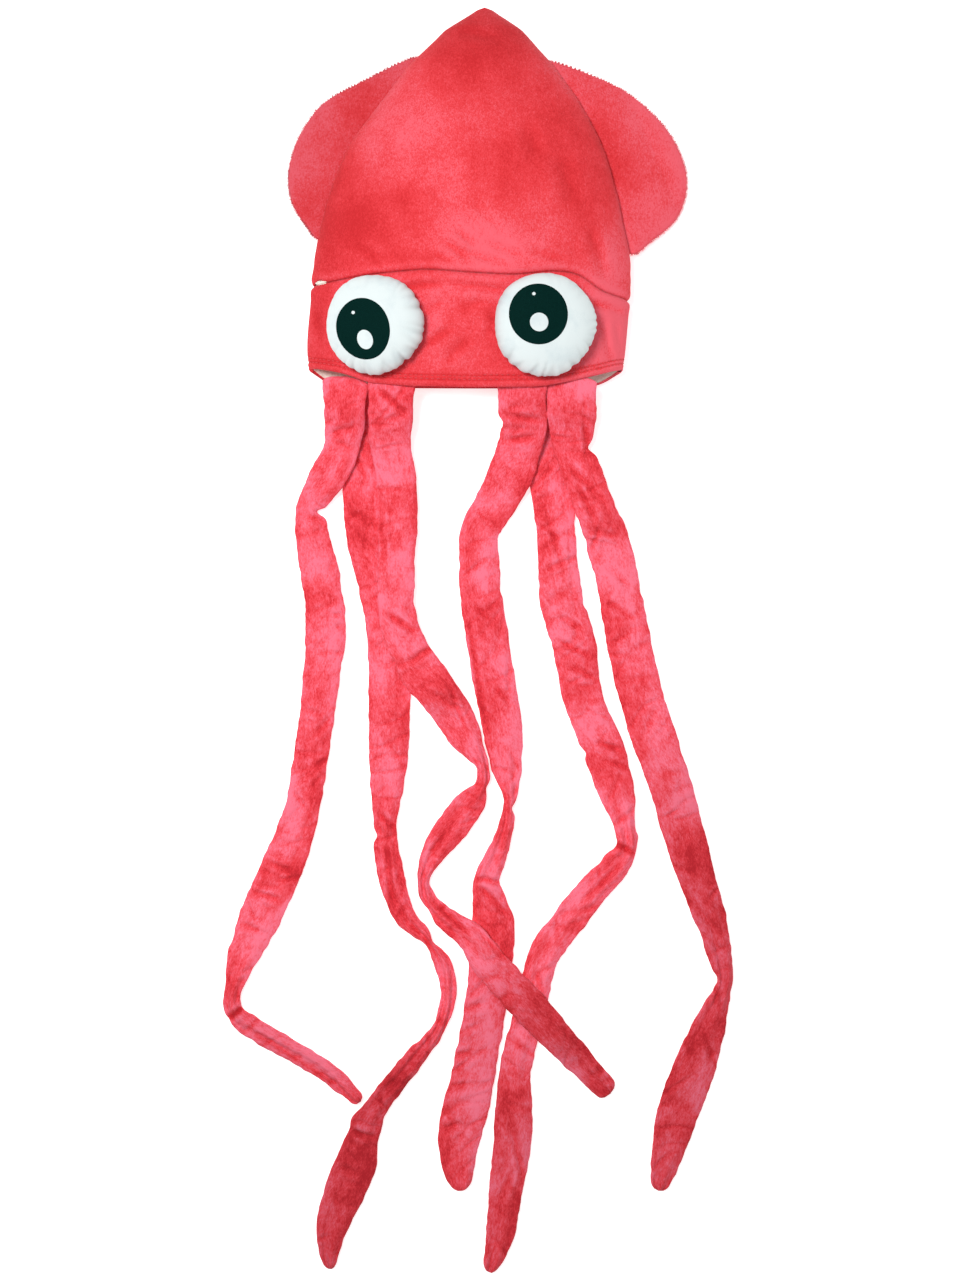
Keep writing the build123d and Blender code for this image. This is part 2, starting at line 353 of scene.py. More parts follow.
def shapedGrid(name, across, along, place, material, fuzzSeed=None):
    # a grid laid over the closed surface that place(u, v) gives in millimetres,
    # with its tone (nap, with painted shade and highlight in places), its painted shade, and flat cloth
    # coordinates where they matter
    bm = bmesh.new()
    bmesh.ops.create_grid(bm, x_segments=across, y_segments=along, size=0.5)
    tone = bm.verts.layers.float.new("tone")
    shade = bm.verts.layers.float.new("shade")
    cloth = bm.verts.layers.float_vector.new("cloth")
    for vert in bm.verts:
        spot = place(vert.co.x + 0.5, vert.co.y + 0.5)
        vert.co = Vector(spot[:3]) * mm
        vert[tone] = spot[3] if len(spot) > 3 else 0
        vert[shade] = spot[4] if len(spot) > 4 else 0
        vert[cloth] = Vector(spot[5]) * mm if len(spot) > 5 else vert.co
    bmesh.ops.remove_doubles(bm, verts=bm.verts, dist=0.01 * mm)
    bmesh.ops.recalc_face_normals(bm, faces=bm.faces)
    bm.normal_update()
    if fuzzSeed is not None:
        addFuzz(bm, fuzzSeed, fuzzSettings)
    return finishMesh(name, bm, material)


fuzzSettings = {
    "tufts": 3800,
    "slope": (-0.2, 0.5),  # how far the normal of an edge may point down and up
    "length": (0.8, 3.0),
    "thick": 0.2,
    "sides": 3,
    "taper": 5,
    "rooted": 0.42,  # share of its length from a tuft's root to its middle
    "stray": 0.8,
    "lift": 0.4,  # how much paler the fibres are
    "batch": 60,  # tufts made at a time
}


def spotIn(face, rng):
    shares = [rng.random() for vert in face.verts]
    return sum((vert.co * share for vert, share in zip(face.verts, shares)), Vector()) / sum(shares)


def addFuzz(bm, seed, settings):
    # tufts of pile that stand out along the edge of a piece
    rng = random.Random(seed)
    tone, shade = bm.verts.layers.float["tone"], bm.verts.layers.float["shade"]
    cloth = bm.verts.layers.float_vector["cloth"]
    down, up = settings["slope"]
    edgeFaces = [face for face in bm.faces if down < face.normal.z < up]
    areas = [face.calc_area() for face in edgeFaces]
    chosen = rng.choices(edgeFaces, weights=areas, k=settings["tufts"])
    roots = [(spotIn(face, rng), face.normal.copy()) for face in chosen]
    looks = []
    for face in chosen:
        corner = face.verts[0]
        looks.append((corner[tone] + settings["lift"], corner[shade], corner[cloth].copy()))
    first, thick, sides = len(bm.verts), settings["thick"] * mm, settings["sides"]
    batch, pile = bmesh.new(), bpy.data.meshes.new("pile")
    for number, (root, normal) in enumerate(roots, 1):
        way = normal + settings["stray"] * Vector([rng.uniform(-1, 1) for axis in range(3)])
        way.normalize()
        length = rng.uniform(*settings["length"]) * mm
        made = bmesh.ops.create_cone(
            batch, cap_ends=True, segments=sides, radius1=thick, radius2=thick / settings["taper"], depth=length
        )["verts"]
        bmesh.ops.transform(batch, matrix=way.to_track_quat("Z", "Y").to_matrix().to_4x4(), verts=made)
        bmesh.ops.translate(batch, verts=made, vec=root + way * (length * settings["rooted"]))
        if number % settings["batch"] == 0 or number == len(roots):
            batch.to_mesh(pile)
            bm.from_mesh(pile)
            batch.clear()
    batch.free()
    bpy.data.meshes.remove(pile)
    bm.verts.ensure_lookup_table()
    for index in range(first, len(bm.verts)):
        vert = bm.verts[index]
        vert[tone], vert[shade], vert[cloth] = looks[(index - first) // (2 * sides)]


def finishMesh(name, bm, material):
    mesh = bpy.data.meshes.new(name)
    bm.to_mesh(mesh)
    bm.free()
    mesh.materials.append(material)
    mesh.polygons.foreach_set("use_smooth", [True] * len(mesh.polygons))
    if "cloth" not in mesh.attributes:  # its pattern lies still in its own rest place
        rest = mesh.attributes.new("cloth", "FLOAT_VECTOR", "POINT")
        places = [0.0] * (3 * len(mesh.vertices))
        mesh.vertices.foreach_get("co", places)
        rest.data.foreach_set("vector", places)
    piece = bpy.data.objects.new(name, mesh)
    bpy.context.collection.objects.link(piece)
    return piece


def blendRows(rows, t):
    # smooth curve through rows of numbers, t counted in rows
    last = len(rows) - 1
    t = min(max(t, 0.0), float(last))
    i = min(int(t), last - 1)
    f = t - i
    a, b, c, d = (rows[min(max(k, 0), last)] for k in (i - 1, i, i + 1, i + 2))
    return [
        0.5 * (2 * q + (r - p) * f + (2 * p - 5 * q + 4 * r - s) * f**2 + (3 * q - p - 3 * r + s) * f**3)
        for p, q, r, s in zip(a, b, c, d)
    ]


def rowAt(rows, value):
    # row of a table whose first column rises, at a value of that column
    last = len(rows) - 1
    for i in range(last):
        if value <= rows[i + 1][0] or i == last - 1:
            span = rows[i + 1][0] - rows[i][0]
            return blendRows(rows, i + (value - rows[i][0]) / span)


def lineAt(points, x):
    # straight runs between points, rounded a little at each
    total, shifts = 0, (-8, -4, 0, 4, 8)
    for shift in shifts:
        s = min(max(x + shift, points[0][0]), points[-1][0])
        for (x0, y0), (x1, y1) in zip(points, points[1:]):
            if s <= x1:
                total += y0 + (y1 - y0) * (s - x0) / (x1 - x0)
                break
    return total / len(shifts)


def clamp(value):
    return min(max(value, 0), 1)


def bell(distance, width):
    return math.exp(-((distance / width) ** 2))


def rounded(distance, radius):
    # from 0 at an edge to 1 at a radius from it, along a quarter circle
    return math.sqrt(max(1 - (max(radius - distance, 0) / radius) ** 2, 0))


def power(value, exponent):
    return math.copysign(abs(value) ** exponent, value)


def ripple(x, y, z, size):
    return noise.noise(Vector((x, y, z)) / size)


def ripples(layers, x, y):
    # each layer has its height, its level in the noise, and its size
    return sum(height * ripple(x, y, level, size) for height, level, size in layers)


# the hat's shape

hatShape = {
    # y, centre x, half width, rise above the side seam, drop below it
    "rows": [
        (226, -12, 139, 33, 30),
        (265, -11, 142, 38, 30),
        (303, -8, 142, 41, 30),
        (337, -6, 141, 44, 30),
        (370, -6, 135, 46, 30),
        (402, -5, 127, 46, 30),
        (441, -3, 113, 44, 30),
        (480, 1, 89, 38, 28),
        (515, 2, 63, 30, 24),
        (545, 4, 35, 19, 16),
        (564, 5, 12, 9, 8),
    ],
    "bagRows": [
        (226, -12, 130, 24, 21),
        (265, -11, 133, 29, 21),
        (303, -8, 133, 32, 21),
        (337, -6, 129, 34, 21),
        (370, -6, 114, 32, 20),
        (396, -5, 87, 25, 17),
        (410, -5, 53, 15, 13),
        (415, -5, 4, 2, 2),
    ],
    "seamHeight": 22,
    "tipY": 565.5,
    "sideRound": 0.94,
    "seamTuck": (2.4, 2.0),  # how deep the cross seam is, and how wide
    "seamRoll": (6, 4.5),  # how far from it the cloth swells, and how wide
    "sideSeam": (1.3, 0.045),
    "freeFrom": 12,  # distance from a seam at which the cloth wrinkles freely
    # painted shade in creases: how much the tone falls for their depth
    "paintedCreaseShade": 0.16,
    # the cross seam on the front, and the rim on the front and on the back
    "crossSeam": [
        (-150, 317), (-94, 323), (-48, 326), (-8, 322.5), (23, 321), (61, 325.5), (82, 323), (100, 310),
        (134, 303),
    ],
    "crossSeamBack": 314,
    "frontRim": [
        (-152, 244), (-134, 240.5), (-116, 236.5), (-99, 229), (-57, 225.5), (-8, 224), (52, 225), (82, 230.5),
        (106, 236.5), (128, 243),
    ],
    "backRim": [
        (-152, 244), (-147, 237.5), (-140, 232.5), (-118, 229.5), (0, 229), (98, 229.5), (118, 233),
        (128, 243),
    ],
}


def hatPoint(rows, y, angle, inset, crisp=1.15):
    # a point on the hat's cross section at y, angle 0 at the right side seam
    centre, halfWidth, rise, drop = rowAt(rows, y)[1:]
    height = rise if math.sin(angle) > 0 else drop
    side = power(math.cos(angle), hatShape["sideRound"])
    x = centre + (halfWidth - inset) * side
    lift = power(math.sin(angle), crisp if math.sin(angle) > 0 else 1.0)
    z = hatShape["seamHeight"] + max(height - inset, 0.5) * lift
    return x, y, max(z, inset)


def edgeX(angle):
    # about where an angle is across the hat, for looking up its seam and rim
    return -12 + 140 * math.cos(angle)


def seamY(angle):
    if math.sin(angle) >= 0:
        return lineAt(hatShape["crossSeam"], edgeX(angle))
    side = abs(math.cos(angle)) ** 6
    end = lineAt(hatShape["crossSeam"], edgeX(angle))
    return end * side + hatShape["crossSeamBack"] * (1 - side)


def rimY(angle):
    return lineAt(hatShape["frontRim" if math.sin(angle) >= 0 else "backRim"], edgeX(angle))


def behind(angle):
    # 0 on the front of the hat and 1 on its back
    return clamp(0.5 - 1.6 * math.sin(angle))


def sewnInset(angle, toSeam, roll):
    # the seams draw the cloth in, and it swells beside the cross seam
    tuck, tuckWidth = hatShape["seamTuck"]
    rollAway, rollWidth = hatShape["seamRoll"]
    side, sideWidth = hatShape["sideSeam"]
    inset = tuck * bell(toSeam, tuckWidth) - roll * bell(toSeam - rollAway, rollWidth)
    return inset + side * bell(math.sin(angle), sideWidth)


def freedom(angle, toSeam):
    return math.sin(angle) ** 0.5 * clamp(toSeam / hatShape["freeFrom"])


def pressedCreases(creases, x, y):
    # depth of soft creases at a place: each runs x0, y0 to x1, y1
    depth = 0
    for x0, y0, x1, y1, deep, wide in creases:
        run = Vector((x1 - x0, y1 - y0))
        away = Vector((x - x0, y - y0))
        t = min(max(away.dot(run) / run.length_squared, 0), 1)
        fade = min(1, 4 * t, 4 * (1 - t)) if 0 < t < 1 else 0
        if fade:
            distance = (away - run * t).length
            depth += fade * deep * (bell(distance, wide) - 0.45 * bell(distance - 2.2 * wide, wide))
    return depth


def crumpled(s, side, seed):
    # sharp creases that wander across the cloth, in some stretches more than others
    lean = 1.6 * noise.noise(Vector((s / 95, seed, 0)))
    where = noise.noise(Vector((s / 15 + lean * side / 15, side / 34, seed)))
    much = clamp(0.5 + 1.6 * noise.noise(Vector((s / 48, side / 60, seed + 9))))
    return much * max(0, 1 - abs(where) / 0.2) ** 1.3


def nap(patches, x, y):
    # a sum of soft patches, each with x, y, half width, half height, much; it gives the tone of the brushed pile,
    # the painted shade of a shade list, and where the cloth crumples
    return sum(
        much * bell(math.hypot((x - px) / wide, (y - py) / high), 1) for px, py, wide, high, much in patches
    )


mantleSettings = {
    "across": 260,
    "innerRows": 26,
    "outerRows": 170,
    "rowSpread": 0.9,  # below 1, the rows are closer towards the tip
    "seamRoll": 0.8,
    "seamShort": 0.5,
    "gap": (3.2, -146, 5),  # the seam has come open a little at its left end: how far, x, width
    # the tone of the brushed pile; the dark patches at the tip and along the left edge are painted shade
    "nap": [
        (-62, 432, 30, 34, 0.2), (-34, 398, 30, 30, 0.2), (-4, 368, 34, 24, 0.26), (24, 346, 40, 16, 0.2),
        (60, 405, 40, 60, -0.2), (4, 540, 80, 44, -0.35), (114, 345, 14, 50, 0.35),
        (-128, 390, 30, 80, -0.5), (-92, 364, 46, 40, -0.22), (20, 470, 50, 26, -0.15),
        (-30, 345, 60, 14, 0.1), (10, 430, 40, 18, -0.18), (96, 420, 16, 60, -0.12), (-60, 335, 40, 10, -0.15),
    ],
    # painted highlight on the roll beside the seam
    "seamHighlight": (0.25, 4, 3),  # how much paler the roll beside the seam is, how far from it, width
    # painted shade at the tip and on the left side
    "shade": [(0, 565, 900, 60, 0.15), (-104, 420, 34, 70, 0.06), (-138, 340, 22, 60, 0.08)],
    "pocket": (-5, 417),  # x and y at which the inside of the stuffing ends
    "pocketRim": 4,  # how far past the seam it starts
    "innerWall": 9.0,
    "tip": (552, 0.35),  # y from which the tip rounds off, and how wide it still is at its end
    "droop": (500, 0.0016),
    "ripples": [(2.4, 0, 75), (1.2, 40, 26), (0.35, 9, 7)],
    "sideways": (0.5, 9),
    "crumple": (8, 352, 56, 36, 0.7),  # x, y, half width, half height, depth
    "creaseDepth": 1.6,
    # x0, y0, x1, y1, depth, width
    "creases": [
        (-34, 352, -8, 334, 1.4, 3.6),
        (-22, 362, 2, 340, 1.2, 2.8),
        (-12, 342, 14, 331, 1.3, 2.8),
        (6, 350, 40, 335, 1.1, 3.4),
        (10, 372, 22, 350, 0.9, 2.6),
        (-4, 384, 12, 362, 0.9, 2.8),
        (-40, 340, -20, 330, 1.0, 3.0),
        (44, 342, 80, 333, 1.0, 3.4),
        (70, 430, 84, 380, 1.2, 7.0),
        (40, 455, 52, 420, 0.9, 6.0),
        (-70, 400, -50, 350, 0.9, 8.0),
        (-112, 352, -84, 330, 1.2, 4.0),
        (96, 366, 112, 322, 1.3, 5.0),
        (-20, 540, 20, 530, 0.6, 4.0),
    ],
}


def makeMantle(settings):
    seamHeight, tipY, lastY = hatShape["seamHeight"], hatShape["tipY"], hatShape["rows"][-1][0]
    total = settings["innerRows"] + settings["outerRows"]
    gap, gapX, gapWidth = settings["gap"]
    pocketX, pocketY = settings["pocket"]
    tipFrom, tipWidth = settings["tip"]
    droopFrom, droop = settings["droop"]
    sideways, sidewaysSize = settings["sideways"]
    seamHighlight, highlightAway, highlightWidth = settings["seamHighlight"]

    def place(u, v):
        angle = math.tau * u
        seam = seamY(angle) - settings["seamShort"]
        if math.sin(angle) > 0:
            seam += gap * bell(edgeX(angle) - gapX, gapWidth)
        step = round(v * total)
        if step == 0:
            return pocketX, pocketY, seamHeight
        if step < settings["innerRows"]:
            y = pocketY + (seam + settings["pocketRim"] - pocketY) * step / settings["innerRows"]
            x, y, z = hatPoint(hatShape["bagRows"], min(y, 414.9), angle, -1.0, 1.0)
            return x, y, max(z, settings["innerWall"])
        t = ((step - settings["innerRows"]) / settings["outerRows"]) ** settings["rowSpread"]
        away = (tipY - seam) * t
        inset = sewnInset(angle, away, settings["seamRoll"])
        x, y, z = hatPoint(hatShape["rows"], min(seam + away, lastY), angle, inset)
        centre = rowAt(hatShape["rows"], y)[1]
        if step == total:
            return centre, tipY, seamHeight
        if y > tipFrom:
            narrow = tipWidth + (1 - tipWidth) * rounded(tipY - seam - away, tipY - tipFrom)
            x = centre + (x - centre) * narrow
            z = seamHeight + (z - seamHeight) * narrow
        y = seam + away
        crease = 0
        if math.sin(angle) > 0:
            free = freedom(angle, away)
            z += free * ripples(settings["ripples"], x, y)
            crease = pressedCreases(settings["creases"], x, y)
            crease += crumpled(0.8 * y + 30, 0.8 * x, 5.5) * nap([settings["crumple"]], x, y)
            z -= settings["creaseDepth"] * free * crease
        x += sideways * ripple(x, y, z, sidewaysSize)
        z -= droop * max(y - droopFrom, 0) ** 2
        # painted highlight on the roll beside the seam, painted shade in the creases and from the shade list
        tone = nap(settings["nap"], x, y) + seamHighlight * bell(away - highlightAway, highlightWidth)
        tone -= hatShape["paintedCreaseShade"] * crease
        return x, y, max(z, 0), tone, nap(settings["shade"], x, y)

    mantle = shapedGrid("mantle", settings["across"], total, place, hatVelour)
    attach(mantle, "hat")
    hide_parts("mantle_front_plush", "mantle_back_plush", "hat_wadding")


bandSettings = {
    "across": 260,
    "outerRows": 70,
    "innerRows": 24,
    "seamRoll": 0.6,
    "wall": 7.5,
    "backWall": (3.6, 14),  # how much thinner the wall is at the back of the rim, and over what height
    "wallStart": 0.08,  # share of the inside over which the wall grows from the seam
    "inward": 1.5,
    "hemRadius": 4,
    "hemInset": (3.4, 4.1),  # of the edge of the hem, from outside and from inside
    "hemDip": (1.2, 1.0),
    "stitchLines": (6.2, 9.6),  # above the edge of the hem
    "stitchTone": 0.5,
    "nap": [
        (124, 278, 20, 45, 0.62), (-138, 290, 16, 60, -0.35), (0, 290, 60, 30, 0.05),
        (-20, 262, 40, 16, -0.2), (20, 306, 90, 7, 0.15), (36, 270, 20, 30, -0.15), (-30, 250, 30, 10, 0.12),
    ],
    # painted shade at the left end
    "shade": [(-142, 280, 20, 60, 0.08)],
    "ripples": [(1.4, 70, 50), (0.6, 20, 18), (0.2, 4, 6)],
    "creaseDepth": 1.4,
    # x0, y0, x1, y1, depth, width
    "creases": [
        (-80, 309, -28, 313, 1.6, 3.0),
        (-30, 313, 30, 306, 1.4, 3.5),
        (92, 300, 134, 292, 2.2, 3.5),
        (-48, 258, -24, 276, 1.8, 3.2),
        (-30, 244, -8, 268, 1.4, 3.4),
        (-52, 284, -30, 300, 1.0, 3.2),
        (-20, 288, 6, 300, 1.0, 4.0),
        (6, 262, 14, 288, 0.9, 3.4),
        (-144, 300, -140, 262, 1.2, 4.0),
        (106, 292, 118, 244, 1.6, 4.0),
        (120, 286, 126, 256, 1.2, 3.0),
    ],
}


def makeBand(settings):
    firstY = hatShape["rows"][0][0]
    total = settings["outerRows"] + settings["innerRows"]
    near, far = settings["stitchLines"]
    dip, dipWidth = settings["hemDip"]
    outerHem, innerHem = settings["hemInset"]
    thinner, thinOver = settings["backWall"]
    tuck = hatShape["seamTuck"][0]

    def place(u, v):
        angle = math.tau * u
        seam, rim = seamY(angle), rimY(angle)
        step = round(v * total)
        outside = step <= settings["outerRows"]
        if outside:
            y = rim + (seam - rim) * step / settings["outerRows"]
            stitched = bell(y - rim - near, dipWidth) + bell(y - rim - far, dipWidth)
            inset = sewnInset(angle, seam - y, settings["seamRoll"]) + dip * stitched
            inset += outerHem * (1 - rounded(y - rim, settings["hemRadius"]))
        else:
            t = (step - settings["outerRows"]) / settings["innerRows"]
            y = seam + (rim - seam) * t + settings["inward"] * math.sin(math.pi * t)
            wall = settings["wall"] - thinner * behind(angle) * bell(y - rim, thinOver)
            inset = wall - (wall - innerHem) * (1 - rounded(y - rim, settings["hemRadius"]))
            if t < settings["wallStart"]:
                inset = tuck + (settings["wall"] - tuck) * t / settings["wallStart"]
        x, y, z = hatPoint(hatShape["rows"], max(y, firstY), angle, inset)
        if y <= firstY:
            y += min(rim - firstY, 0)
        crease = 0
        if outside and math.sin(angle) > 0:
            free = freedom(angle, seam - y)
            z += free * ripples(settings["ripples"], x, y)
            crease = pressedCreases(settings["creases"], x, y)
            z -= settings["creaseDepth"] * free * crease
        # painted shade in the creases, and painted shade from the shade list
        tone = nap(settings["nap"], x, y) - hatShape["paintedCreaseShade"] * crease
        if outside:
            tone -= settings["stitchTone"] * stitched
        return x, y, max(z, 0), tone, nap(settings["shade"], x, y)

    band = shapedGrid("faceBand", settings["across"], total, place, hatVelour)
    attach(band, "hat")
    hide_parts("band_front_plush", "band_back_plush", "hem_binding")
    return band


liningSettings = {
    "across": 160,
    "along": 60,
    "thick": 1.2,
    "end": (-5, 415),
    "edge": (5.0, 2.0),  # how far inside the rim it starts, at the front and at the back
    "inset": 1.4,
    "flare": (1.8, 4.5),  # how far it spreads over the rim, and how much more at the back
    "flareFade": 12,
    "least": 10.2,
    "sag": (0.9, 22),
}


def makeLining(settings):
    endX, endY = settings["end"]
    frontEdge, backEdge = settings["edge"]
    flare, backFlare = settings["flare"]
    sag, sagSize = settings["sag"]

    def place(u, v):
        angle = math.tau * u
        rim = rimY(angle) + (frontEdge if math.sin(angle) > 0.2 else backEdge)
        y = rim + (endY - rim) * v
        if v > 0.999:
            return endX, endY, hatShape["seamHeight"]
        spread = (flare + backFlare * behind(angle)) * (1 - v) ** settings["flareFade"]
        x, y, z = hatPoint(hatShape["bagRows"], min(y, endY - 0.5), angle, settings["inset"] - spread, 1.0)
        hang = sag * ripple(x, y, z, sagSize) * (0.2 + 0.8 * min(1, v * 5))
        return x, y, max(z, settings["least"]) + hang

    lining = shapedGrid("headLining", settings["across"], settings["along"], place, creamLining)
    thick = lining.modifiers.new("cloth", "SOLIDIFY")
    thick.thickness = settings["thick"] * mm
    thick.offset = 1
    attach(lining, "hat")
    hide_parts("head_lining_front", "head_lining_back")


tuftSettings = {
    "x": -144.4,
    "above": 0.9,
    "inset": 2.7,
    "size": (6.5, 1.9, 2.6),
    "ragged": 0.35,
}


def makeSeamTuft(settings):
    # wadding that shows where the cross seam has come open
    wide, high, deep = settings["size"]
    angles = [math.pi * (0.5 + step / 400) for step in range(200)]
    angle = min(angles, key=lambda turn: abs(edgeX(turn) - settings["x"]))
    y = seamY(angle) + settings["above"]
    centre = Vector(hatPoint(hatShape["rows"], y, angle, settings["inset"]))
    beside = Vector(hatPoint(hatShape["rows"], y, angle - 0.05, settings["inset"]))
    along = (beside - centre).normalized()
    outward = along.cross(Vector((0, 1, 0)))

    def place(u, v):
        turn, polar = math.tau * u, math.pi * v
        ragged = 1 + settings["ragged"] * noise.noise(Vector((3 * math.cos(turn), 3 * math.sin(turn), 6 * v)))
        spot = centre + along * (wide * math.sin(polar) * math.cos(turn) * ragged)
        spot += outward * (deep * math.sin(polar) * math.sin(turn) * ragged)
        spot.y += high * math.cos(polar) * ragged
        return tuple(spot)

    tuft = shapedGrid("seamTuft", 48, 24, place, creamLining)
    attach(tuft, "hat")


makeMantle(mantleSettings)
makeSeamTuft(tuftSettings)
band = makeBand(bandSettings)
makeLining(liningSettings)
print("hat")


# stitches

stitchSettings = {
    "length": 3.0,
    "pitch": 4.0,
    "thick": 0.55,
    "sides": 6,
    "rings": 5,
    "samples": 360,  # along the front of the hem
}


def surfaceTree(piece):
    mesh = piece.data
    return BVHTree.FromPolygons([v.co.copy() for v in mesh.vertices], [list(p.vertices) for p in mesh.polygons])


def addStitch(bm, start, end, settings):
    # a rounded bar whose ends go into the cloth
    run, thick = end - start, settings["thick"] * mm
    turn = run.to_track_quat("Z", "Y").to_matrix().to_4x4()
    sides, rings = settings["sides"], settings["rings"]
    made = bmesh.ops.create_uvsphere(bm, u_segments=sides, v_segments=rings, radius=1)["verts"]
    bmesh.ops.scale(bm, verts=made, vec=(thick, thick, run.length / 2))
    bmesh.ops.transform(bm, matrix=turn, verts=made)
    bmesh.ops.translate(bm, verts=made, vec=(start + end) / 2)


def makeHemStitching(settings):
    tree = surfaceTree(band)
    bm = bmesh.new()
    firstY = hatShape["rows"][0][0]
    angles = [math.pi * (i + 0.5) / settings["samples"] for i in range(settings["samples"])]
    for line in bandSettings["stitchLines"]:
        places = [
            Vector(hatPoint(hatShape["rows"], max(rimY(angle) + line, firstY), angle, 0)) for angle in angles
        ]
        travelled, nextStitch = 0, 0
        for before, after in zip(places, places[1:]):
            travelled += (after - before).length
            if travelled < nextStitch:
                continue
            nextStitch = travelled + settings["pitch"]
            run = (after - before).normalized() * settings["length"] / 2
            start, end = (tree.find_nearest(point * mm)[0] for point in (after - run, after + run))
            addStitch(bm, start, end, settings)
    stitches = finishMesh("hemStitching", bm, redThread)
    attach(stitches, "hat")
    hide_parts("hem_topstitching")


makeHemStitching(stitchSettings)
print("stitches")

# eyes

eyeSettings = {
    # pupil: x, y, width, height, turn, how much its lower left is flattened; highlights: the same without the last
    "left": {
        "tilt": (-0.17, -0.075),
        "radius": 43.2,
        "shift": (0.5, 2.6),
        "seed": 3,
        "deepSide": -0.7,  # the angle at which the gathers are deepest
        "pupil": (-100, 270, 47, 54, 12, 0.10),
        "highlights": [(-97.8, 261.4, 13.2, 16.8, 22), (-108, 284.5, 2.9, 2.9, 0)],
    },
    "right": {
        "tilt": (0.15, -0.075),
        "radius": 44.8,
        "shift": (-1.2, 1.0),
        "seed": 8,
        "deepSide": -1.1,
        "pupil": (51, 282.7, 50.5, 52, 0, 0.0),
        "highlights": [(51.5, 275.5, 15.8, 15.8, 0), (47, 299.6, 2.9, 2.9, 0)],
    },
}
eyeForm = {
    "across": 200,
    "along": 90,
    "front": 19.0,
    "back": 12.0,
    "frontRound": 0.85,
    "backRound": 0.7,
    "rimRound": 0.72,
    "sunk": 3,  # how far it sits down into the band
    "gathers": 48,
    "gatherDepth": 2.1,
    "dimple": (0.35, 14),
    # painted shade in the gathers: how much for their pinch, and at most
    "creaseShade": (0.09, 0.2),
}


def eyeMiddle(side):
    low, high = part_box(side + "_eye_cover")
    return (Vector(low) + Vector(high)) / 2 / mm


def makeEye(side, settings, form):
    middle = eyeMiddle(side)
    tiltX, tiltY = settings["tilt"]
    normal = Vector((tiltX, tiltY, 1)).normalized()
    right = Vector((1, 0, 0)) - normal * normal.x
    right.normalize()
    up = normal.cross(right)
    rng = random.Random(settings["seed"])
    gathers = []
    for i in range(form["gathers"]):
        where = math.tau * (i + rng.uniform(-0.6, 0.6)) / form["gathers"]
        fromDeep = (where - settings["deepSide"] + math.pi) % math.tau - math.pi
        bias = 0.22 + 0.78 * max(0, math.cos(fromDeep / 1.25))
        depth = bias * rng.uniform(0.2, 1.0) * form["gatherDepth"]
        gathers.append((where, depth, rng.uniform(0.022, 0.065), rng.uniform(0.5, 0.84), rng.uniform(-0.6, 0.6)))
    centre = middle - normal * form["sunk"] + Vector((*settings["shift"], 0))
    dimple, dimpleSize = form["dimple"]
    shade, mostShade = form["creaseShade"]

    def place(u, v):
        angle = math.tau * u
        polar = math.pi * v
        reach = math.sin(polar) ** form["rimRound"]
        height = math.cos(polar)
        radius = settings["radius"] * reach
        radius *= 1 + 0.013 * math.sin(3 * angle + 1) + 0.010 * math.sin(5 * angle + settings["seed"])
        half = "front" if height > 0 else "back"
        rise = form[half] * power(height, form[half + "Round"])
        # gathers pinch the rim and fade out on the dome
        pinch = 0
        for where, depth, wide, fade, bend in gathers:
            grip = max(0, (reach - fade) / (1 - fade)) ** 1.4 if v < 0.5 else 1.0
            gap = math.remainder(angle - where - bend * (1 - reach), math.tau)
            pinch += depth * bell(gap, wide) * grip
        radius -= pinch * (0.7 if v < 0.5 else reach)
        rise -= pinch * 0.7 * (1 if height > -0.2 else 0)
        x, y = radius * math.cos(angle), radius * math.sin(angle)
        rise += dimple * ripple(x, y, settings["seed"], dimpleSize)
        return (*(centre + right * x + up * y + normal * rise), 0, min(shade * pinch, mostShade))

    cover = shapedGrid(side + "EyeCover", form["across"], form["along"], place, whiteCloth)
    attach(cover, "hat")
    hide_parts(side + "_eye_cover", side + "_eye_stuffing")
    return cover


printForm = {
    "grid": 36,
    "thick": 0.2,
    "above": 200,  # height from which the film is laid on the eye
}


def printedOval(bm, tree, oval, lift):
    # an oval film that follows the surface below it
    x, y, width, height, turn, flatten = oval
    grid = printForm["grid"]
    made = bmesh.ops.create_grid(bm, x_segments=grid, y_segments=grid, size=1.0)["verts"]
    cosine, sine = math.cos(math.radians(turn)), math.sin(math.radians(turn))
    for vert in made:
        a, b = vert.co.x, vert.co.y
        px = a * math.sqrt(1 - b * b / 2)
        py = b * math.sqrt(1 - a * a / 2)
        squeeze = 1 - flatten * max(0, -(px + py) / 1.41) ** 2
        px, py = px * squeeze * width / 2, py * squeeze * height / 2
        above = Vector((x + px * cosine - py * sine, y + px * sine + py * cosine, printForm["above"]))
        hit, normal = tree.ray_cast(above * mm, Vector((0, 0, -1)))[:2]
        vert.co = hit + normal * lift * mm


def makePrint(name, cover, ovals, lift, material):
    tree = surfaceTree(cover)
    bm = bmesh.new()
    for oval in ovals:
        printedOval(bm, tree, oval, lift)
    bmesh.ops.recalc_face_normals(bm, faces=bm.faces)
    if sum(face.normal.z for face in bm.faces) < 0:
        bmesh.ops.reverse_faces(bm, faces=bm.faces)
    bmesh.ops.solidify(bm, geom=bm.faces[:], thickness=printForm["thick"] * mm)
    bmesh.ops.recalc_face_normals(bm, faces=bm.faces)
    film = finishMesh(name, bm, material)
    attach(film, "hat")
    return film


for side, settings in eyeSettings.items():
    cover = makeEye(side, settings, eyeForm)
    pupil = makePrint(side + "Pupil", cover, [settings["pupil"]], 0.3, darkPrint)
    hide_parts(side + "_eye_pupil")
    spots = [(*spot, 0.0) for spot in settings["highlights"]]
    shine = makePrint(side + "PupilHighlights", cover, spots, 0.5, whiteCloth)
print("eyes")

# fins

